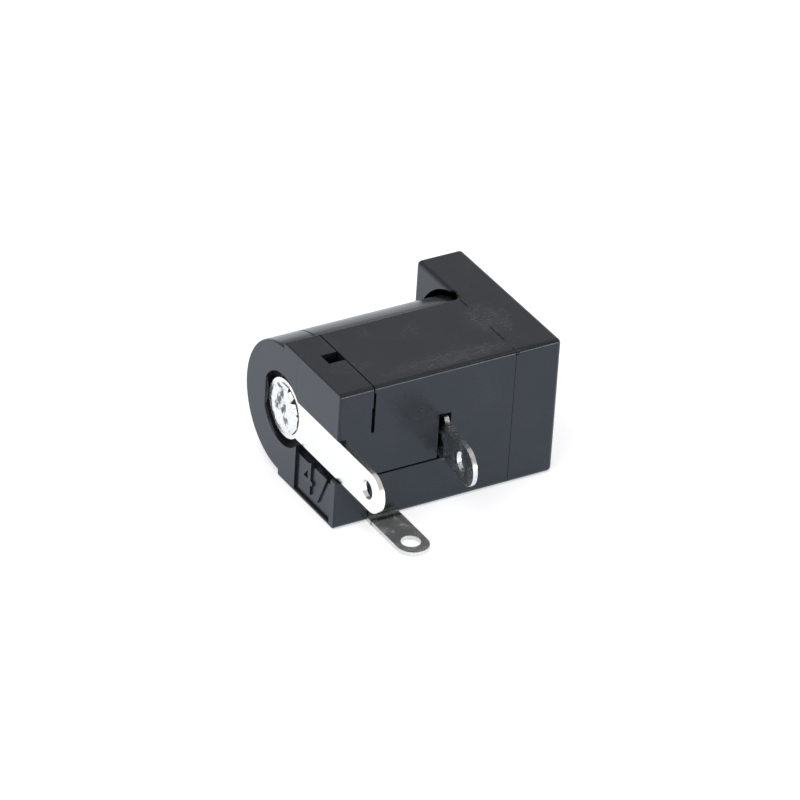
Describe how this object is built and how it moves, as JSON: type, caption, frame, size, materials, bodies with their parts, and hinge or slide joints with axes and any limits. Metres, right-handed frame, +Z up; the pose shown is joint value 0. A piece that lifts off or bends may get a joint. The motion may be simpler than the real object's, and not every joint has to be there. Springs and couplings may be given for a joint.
{
  "type": "dc barrel jack",
  "caption": "Panel-edge socket for a round low-voltage power plug, with a centre pin and three solder terminals, one of them a switch contact.",
  "frame": {"origin": "middle of the part's footprint on the surface that it lies on, under the flat side with the switch terminal", "axes": "+X out of the mouth along the plug's axis, +Y from the board side to the round top of the barrel, +Z up from the side it lies on"},
  "size_m": [0.0148, 0.016, 0.009],
  "materials": {
    "black_plastic": "moulded, satin",
    "nickel_plate": "nickel plated, bright",
    "tin_plate": "tin plated, satin",
    "bronze_plate": "tin plated, satin"
  },
  "bodies": {
    "root": {"housing": "black_plastic", "rear_cap": "black_plastic", "center_pin": "nickel_plate", "pin_terminal": "tin_plate", "sleeve_contact": "bronze_plate", "switch_contact": "bronze_plate"}
  },
  "joints": []
}
